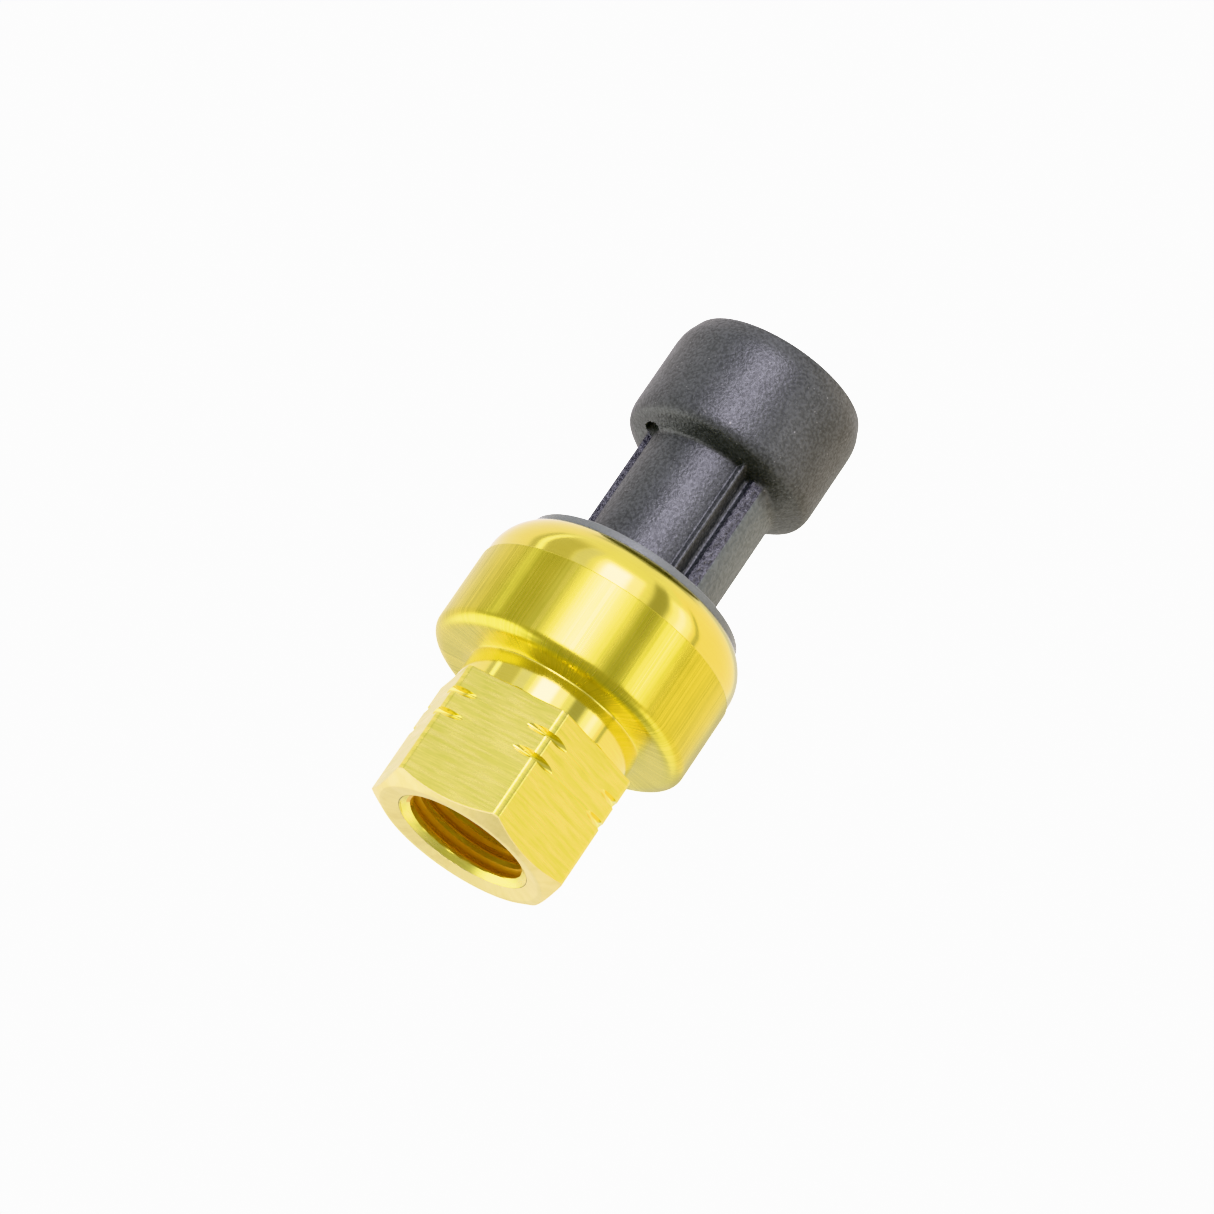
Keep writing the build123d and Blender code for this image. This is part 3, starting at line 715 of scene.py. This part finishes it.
def head_rows():
    """Profile of the head from the cone's edge over the rim to the cup's floor, as (r, z)."""
    rows = curve((UNDER_R, UNDER_Z), (HEAD_R, UNDER_Z + (HEAD_R - UNDER_R) * UNDER_SLOPE), (HEAD_R, 37.5), 6)
    rows += [(HEAD_R, z) for z in (38.3, 39.0, 40.0, 41.0, 42.0)]
    rows += curve((HEAD_R, 42.9), (HEAD_R, 43.95), (7.69, 44.56), 6)
    rows += curve((7.49, 45.06), (7.314, HEAD_TOP), (7.08, HEAD_TOP), 4)
    inside = [(6.85, HEAD_TOP, 0), (CUP_INSIDE + 0.25, HEAD_TOP, 0.05), (CUP_INSIDE, HEAD_TOP - 0.25, 0.07)]
    inside += [(CUP_INSIDE, z, 0) for z in (44.6, RIB_TOP + 0.07, RIB_TOP - 0.05, 42, 39)]
    inside += [(CUP_INSIDE, CUP_BOTTOM, 0.25), (5.7, CUP_BOTTOM, 0)]
    return rows + bevel_profile(inside)


def stalk_finish(x, y):
    """Coarse strips on the stepped flat and beside the left step, and a right flank painted paler, a painted
    light.
    """
    front_strip = FLAT_START - 0.07 < x < FLAT_END and y < FLAT_Y + 0.06
    left_strip = x < -SIDE_X + 0.03 and STEP_Y - 0.1 < y < STEP_Y + 0.6
    if front_strip or left_strip:
        return COARSE
    # painted light on the right flank
    return PAINTED_LIGHT if x > FLAT_END and y < 1 else BLACK


def connector_housing():
    """Flange, stalk, head with its plug cup, and latch catch: one moulding."""
    columns = connector_columns()
    low = bevel_profile([(3.0, ROOF_Z, 0), (CAVITY_R, ROOF_Z, 0.2), (CAVITY_R, FLANGE_Z, 0.1),
                         (FLANGE_R, FLANGE_Z, 0.1), (FLANGE_R, FLANGE_TOP, 0.1), (DOME_R, FLANGE_TOP, 0.1),
                         (DOME_R, DOME_TOP, 0.15), (7.4, DOME_TOP, 0)])

    # under the seal: cavity roof, cavity wall, flange and dome, then the stalk
    rings = [[(0, 0, ROOF_Z)]]
    rings += [[polar(r, angle, z) for x, y, angle in columns] for r, z in low]
    rings.append([(x * 1.02, y * 1.02, DOME_TOP) for x, y, angle in columns])
    for z in (DOME_TOP + 0.02, 24.5, 26.0, 27.5, 29.0, 30.5, 32.0, 33.0):
        rings.append([(x, y, z) for x, y, angle in columns])

    # fillet from the stalk's wall into the head's cone
    def fillet(x, y, angle, t):
        r0 = math.hypot(x, y)
        corner_z = under_z(r0, angle)
        r = r0 + FILLET * t * t
        a, b, c = (1 - t) ** 2, 2 * t * (1 - t), t * t
        z = a * (corner_z - FILLET) + b * corner_z + c * under_z(r0 + FILLET, angle)
        return x * r / r0, y * r / r0, z

    steps = 6
    for k in range(steps + 1):
        rings.append([fillet(*column, k / steps) for column in columns])

    def on_cone(x, y, angle, t):
        x0, y0, _ = fillet(x, y, angle, 1)
        x1, y1, _ = polar(CONE_END, angle, 0)
        x, y = x0 + (x1 - x0) * t, y0 + (y1 - y0) * t
        return x, y, under_z(math.hypot(x, y), angle)

    steps = 12
    for k in range(steps):
        rings.append([on_cone(*column, k / steps) for column in columns])

    # head, rim and cup
    for r, z in head_rows():
        if r <= CUP_INSIDE:
            rings.append([polar(min(r, cup_radius(angle, z)), angle, z) for x, y, angle in columns])
        else:
            rings.append([polar(r, angle, z) for x, y, angle in columns])
    for r in (4.5, 2.5):
        rings.append([polar(r, angle, CUP_BOTTOM) for x, y, angle in columns])
    rings.append([(0, 0, CUP_BOTTOM)])

    skin = Skin()
    skin.stack(rings, [BLACK] * len(rings))
    catch = latch_catch()
    skin.stack(catch, [BLACK] * len(catch))
    piece = skin.build("connector_moulding", [black_plastic, coarse_plastic, painted_light_plastic])
    # the stalk's faces between the seal and the head take the coarse strips and the painted light of the
    # right flank
    for face in piece.data.polygons:
        x, y, z = face.center / MM
        if SEAL_TOP < z < PAINTED_SHADE_Z[1]:
            face.material_index = stalk_finish(x, y)
    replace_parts(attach(piece, "case"), "connector_housing")


def environmental_seal():
    """The grey ring between the crimped lip and the stalk, fitted round the stalk's outline."""
    columns = connector_columns()
    rings = []
    for grow, z in ((0.0, DOME_TOP + 0.05), (0.0, SEAL_TOP - 0.06), (0.02, SEAL_TOP - 0.01),
                    (0.08, SEAL_TOP)):
        ring = []
        for x, y, angle in columns:
            wider = 1 + grow / math.hypot(x, y)
            ring.append((x * wider, y * wider, z))
        rings.append(ring)
    profile = bevel_profile([(6.8, SEAL_TOP, 0), (SEAL_R, SEAL_TOP, 0.18), (SEAL_R, 23.6, 0), (9.0, 22.2, 0),
                             (9.55, 20.95, 0.05), (DOME_R + 0.02, 20.95, 0.05), (DOME_R + 0.02, 23.72, 0.05),
                             (7.0, DOME_TOP + 0.05, 0)])
    rings += [[polar(r, angle, z) for x, y, angle in columns] for r, z in profile]
    skin = Skin()
    skin.stack(rings, [0] * len(rings), closed=True)
    piece = skin.build("grey_seal_ring", [grey_rubber])
    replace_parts(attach(piece, "case"), "environmental_seal")


# ---- moving parts that change shape ----

def snap_disc():
    """The domed disc under the pin guide. It flattens as the button rises."""
    rise = DISC_DOME / DISC_R ** 2
    rows, steps = 14, 72
    low = [(DISC_R * k / rows, DISC_LOW + rise * (DISC_R * k / rows) ** 2) for k in range(1, rows + 1)]
    high = [(r, z + DISC_T) for r, z in reversed(low)]
    edge = [(DISC_R + 0.02, low[-1][1] + DISC_T / 2)]
    rings = [[(0, 0, DISC_LOW)]]
    rings += [[polar(r, 360 * k / steps, z) for k in range(steps)] for r, z in low + edge + high]
    rings.append([(0, 0, DISC_LOW + DISC_T)])
    skin = Skin()
    skin.stack(rings, [0] * len(rings))
    piece = skin.build("snap_disc_sprung", [spring_steel])
    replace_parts(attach(piece, "case"), "snap_disc")
    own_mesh(piece)


def return_spring():
    """The coil spring over the contact arm. It shortens as the arm rises."""
    low, high = SPRING_LOW + SPRING_WIRE, SPRING_HIGH - SPRING_WIRE
    rings, centres = [], []
    count, sides = 160, 10
    for k in range(count + 1):
        t = k / count
        turned = 360 * SPRING_TURNS * t
        middle = low + (high - low) * t
        ring = []
        for j in range(sides):
            out, up, _ = polar(SPRING_WIRE, 360 * j / sides, 0)
            x, y, z = polar(SPRING_R + out, turned, middle + up)
            ring.append((SPRING_X + x, y, z))
        rings.append(ring)
        x, y, z = polar(SPRING_R, turned, middle)
        centres.append((SPRING_X + x, y, z))
    skin = Skin()
    skin.stack([[centres[0]]] + rings + [[centres[-1]]], [0] * (len(rings) + 2))
    piece = skin.build("return_spring_coil", [spring_steel])
    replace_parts(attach(piece, "case"), "return_spring")
    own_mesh(piece)


port_body()
connector_housing()
environmental_seal()
snap_disc()
return_spring()

NODE_MATERIALS = {
    "valve_depressor": stem_brass, "chamber_seal": black_rubber, "diaphragm": film,
    "pressure_plate": steel, "pressure_button": steel, "disc_ring": steel,
    "pin_guide": phenolic, "transfer_pin": ceramic, "contact_arm": bronze, "pivot_pin": steel,
    "moving_contact": silver, "no_contact": silver, "nc_contact": silver, "no_terminal": tin,
    "nc_terminal": tin, "common_terminal": tin,
}
for name, material in NODE_MATERIALS.items():
    node = nodes[name]
    node.data.materials.clear()
    node.data.materials.append(material)


# ---- studio ----

FORWARD = Vector((0, 0.9405, 0.3399))        # the camera looks up at the part by about 20 degrees
UP = Vector((0, -0.3399, 0.9405))
ROLL = math.radians(34.3)                    # and is rolled, so that the part leans in the picture
CAMERA_AT = (-0.00096, -0.4235, -0.1309)
LENS, SENSOR = 176.5, 36.0
FLOOR_HALF, FLOOR_Z = 6.0, -0.30             # metres
PORT_LIGHT_AT, PORT_LIGHT_AIM = (0.02, -0.19, -0.22), (0, 0, 0.002)
PORT_LIGHT_W, PORT_LIGHT_R, PORT_LIGHT_SPREAD = 7.0, 0.012, 1.75
BACKDROP_WHITE = 3.0          # bright enough to come out white through the view transform


def camera():
    side = Vector((1, 0, 0))
    right = side * math.cos(ROLL) + UP * math.sin(ROLL)
    up = -side * math.sin(ROLL) + UP * math.cos(ROLL)
    turn = Matrix((right, up, -FORWARD)).transposed()
    data = bpy.data.cameras.new("camera")
    data.lens, data.sensor_width = LENS, SENSOR
    data.clip_start, data.clip_end = 0.01, 20
    made = bpy.data.objects.new("camera", data)
    made.matrix_world = Matrix.Translation(CAMERA_AT) @ turn.to_4x4()
    bpy.context.scene.collection.objects.link(made)
    bpy.context.scene.camera = made


def floor():
    """A plain pale floor well below the part, kept out of its light and reflections."""
    corners = ((-1, -1), (1, -1), (1, 1), (-1, 1))
    mesh = bpy.data.meshes.new("floor")
    mesh.from_pydata([(x * FLOOR_HALF, y * FLOOR_HALF, FLOOR_Z) for x, y in corners], [], [(0, 1, 2, 3)])
    s = Shader("floor_paper")
    s.set(Metallic=0.0, Roughness=0.9)
    mottle = s.ramp(s.noise(s.place(0.05), 1.0), 0.3, 0.7)
    s.colour(s.mix(mottle, (0.80, 0.80, 0.79), (0.82, 0.82, 0.81)))
    mesh.materials.append(s.material)
    made = bpy.data.objects.new("floor", mesh)
    bpy.context.scene.collection.objects.link(made)
    made.visible_glossy = made.visible_diffuse = made.visible_shadow = False


class Sky:
    """The studio's soft boxes and flags, as windows of brightness in a plain pale surround."""

    def __init__(self, colour):
        world = bpy.data.worlds.new("studio")
        world.use_nodes = True
        bpy.context.scene.world = world
        self.tree = world.node_tree
        self.tree.nodes.clear()
        coords = self.new("ShaderNodeTexCoord")
        split = self.new("ShaderNodeSeparateXYZ")
        self.tree.links.new(coords.outputs["Generated"], split.inputs[0])
        back = self.math("MULTIPLY", split.outputs["Y"], -1.0)
        self.azimuth = self.math("MULTIPLY", self.math("ARCTAN2", split.outputs["X"], back), 180 / math.pi)
        self.elevation = self.math("MULTIPLY", self.math("ARCSINE", split.outputs["Z"]), 180 / math.pi)
        self.colour = self.new("ShaderNodeRGB").outputs[0]
        self.colour.default_value = (*colour, 1)

    def new(self, kind):
        return self.tree.nodes.new(kind)

    def math(self, operation, a, b=None):
        n = self.new("ShaderNodeMath")
        n.operation = operation
        for socket, value in zip(n.inputs, (a, b)):
            if value is None:
                continue
            if isinstance(value, bpy.types.NodeSocket):
                self.tree.links.new(value, socket)
            else:
                socket.default_value = value
        return n.outputs[0]

    def step(self, value, start, end):
        n = self.new("ShaderNodeMapRange")
        n.interpolation_type = "SMOOTHSTEP"
        n.inputs["From Min"].default_value = start
        n.inputs["From Max"].default_value = end
        self.tree.links.new(value, n.inputs["Value"])
        return n.outputs[0]

    def band(self, value, low, high, soft):
        rise = self.step(value, low - soft / 2, low + soft / 2)
        fall = self.step(value, high - soft / 2, high + soft / 2)
        return self.math("SUBTRACT", rise, fall)

    def window(self, colour, azimuth, elevation, soft, soft_up):
        """Paints a colour over a range of azimuth and elevation, with edges softened each way."""
        mask = self.math("MULTIPLY", self.band(self.azimuth, *azimuth, soft),
                         self.band(self.elevation, *elevation, soft_up))
        n = self.new("ShaderNodeMix")
        n.data_type = "RGBA"
        self.tree.links.new(mask, n.inputs[0])
        self.tree.links.new(self.colour, n.inputs[6])
        n.inputs[7].default_value = (*colour, 1)
        self.colour = n.outputs[2]

    def done(self):
        """The camera itself sees plain white behind the part."""
        light = self.new("ShaderNodeBackground")
        self.tree.links.new(self.colour, light.inputs["Color"])
        white = self.new("ShaderNodeBackground")
        white.inputs["Color"].default_value = (1, 1, 1, 1)
        white.inputs["Strength"].default_value = BACKDROP_WHITE
        path = self.new("ShaderNodeLightPath")
        pick = self.new("ShaderNodeMixShader")
        self.tree.links.new(path.outputs["Is Camera Ray"], pick.inputs[0])
        self.tree.links.new(light.outputs[0], pick.inputs[1])
        self.tree.links.new(white.outputs[0], pick.inputs[2])
        out = self.new("ShaderNodeOutputWorld")
        self.tree.links.new(pick.outputs[0], out.inputs["Surface"])


SURROUND = (1.02, 1.00, 1.00)
# Painted in this order, each over the ones before: colour, azimuth, elevation, softness each way.
WINDOWS = (
    ((0.80, 0.80, 0.78), (-180, 180), (-95, -35), 6, 30),        # table, and the darker part under it
    ((0.48, 0.48, 0.46), (-180, 180), (-95, -60), 6, 14),
    ((1.16, 1.07, 1.08), (-200, -102), (-30, 70), 14, 30),       # walls at the left, the right and behind
    ((1.36, 1.20, 0.99), (52, 142), (-30, 70), 14, 30),
    ((0.75, 0.72, 0.65), (148, 175), (-10, 60), 14, 30),
    ((2.8, 2.8, 2.7), (-160, -64), (-62, -24), 16, 12),          # low reflectors, left and right
    ((2.0, 1.9, 1.7), (66, 160), (-46, -24), 16, 12),
    ((0.56, 0.53, 0.49), (-62, 52), (-70, -8), 30, 16),          # dark foreground
    ((0.66, 0.64, 0.60), (-102, -58), (-20, 50), 8, 20),         # left flag with a bright slit in it
    ((2.1, 2.15, 2.2), (-93, -87.5), (0, 50), 4, 20),
    ((0.84, 0.84, 1.14), (-57, -43), (0, 50), 5, 20),            # gap between the flag and the main light
    ((2.6, 2.5, 2.9), (-36, 5), (0, 42), 5, 12),                 # main soft box and its bright middle
    ((12.6, 12.0, 14.8), (-30, -8), (0, 36), 6, 14),
    ((0.44, 0.44, 0.44), (15, 32), (-5, 58), 6, 20),             # dark gap between the two soft boxes
    ((2.1, 2.05, 2.1), (36, 58), (0, 46), 4, 12),                # second soft box and its bright middle
    ((5.0, 4.8, 4.8), (44, 51), (0, 42), 5, 12),
    ((0.55, 0.54, 0.50), (63, 69), (-20, 55), 4, 20),            # narrow flag beside it
    ((0.48, 0.48, 0.48), (125, 235), (64, 95), 20, 16),          # dark ceiling behind, on both sides of
    ((0.48, 0.48, 0.48), (-235, -125), (64, 95), 20, 16),        # the azimuth's seam
)


def port_light():
    """A small soft lamp below the front that reaches up into the port."""
    data = bpy.data.lights.new("port_light", "SPOT")
    data.energy, data.shadow_soft_size = PORT_LIGHT_W, PORT_LIGHT_R
    data.spot_size, data.spot_blend = math.radians(PORT_LIGHT_SPREAD), 0.4
    data.color = (1.0, 0.92, 0.75)
    made = bpy.data.objects.new("port_light", data)
    made.location = PORT_LIGHT_AT
    aim = Vector(PORT_LIGHT_AIM) - made.location
    made.rotation_euler = aim.to_track_quat("-Z", "Y").to_euler()
    bpy.context.scene.collection.objects.link(made)


camera()
floor()
sky = Sky(SURROUND)
for window in WINDOWS:
    sky.window(*window)
sky.done()
port_light()
bpy.context.scene.view_settings.view_transform = "Khronos PBR Neutral"
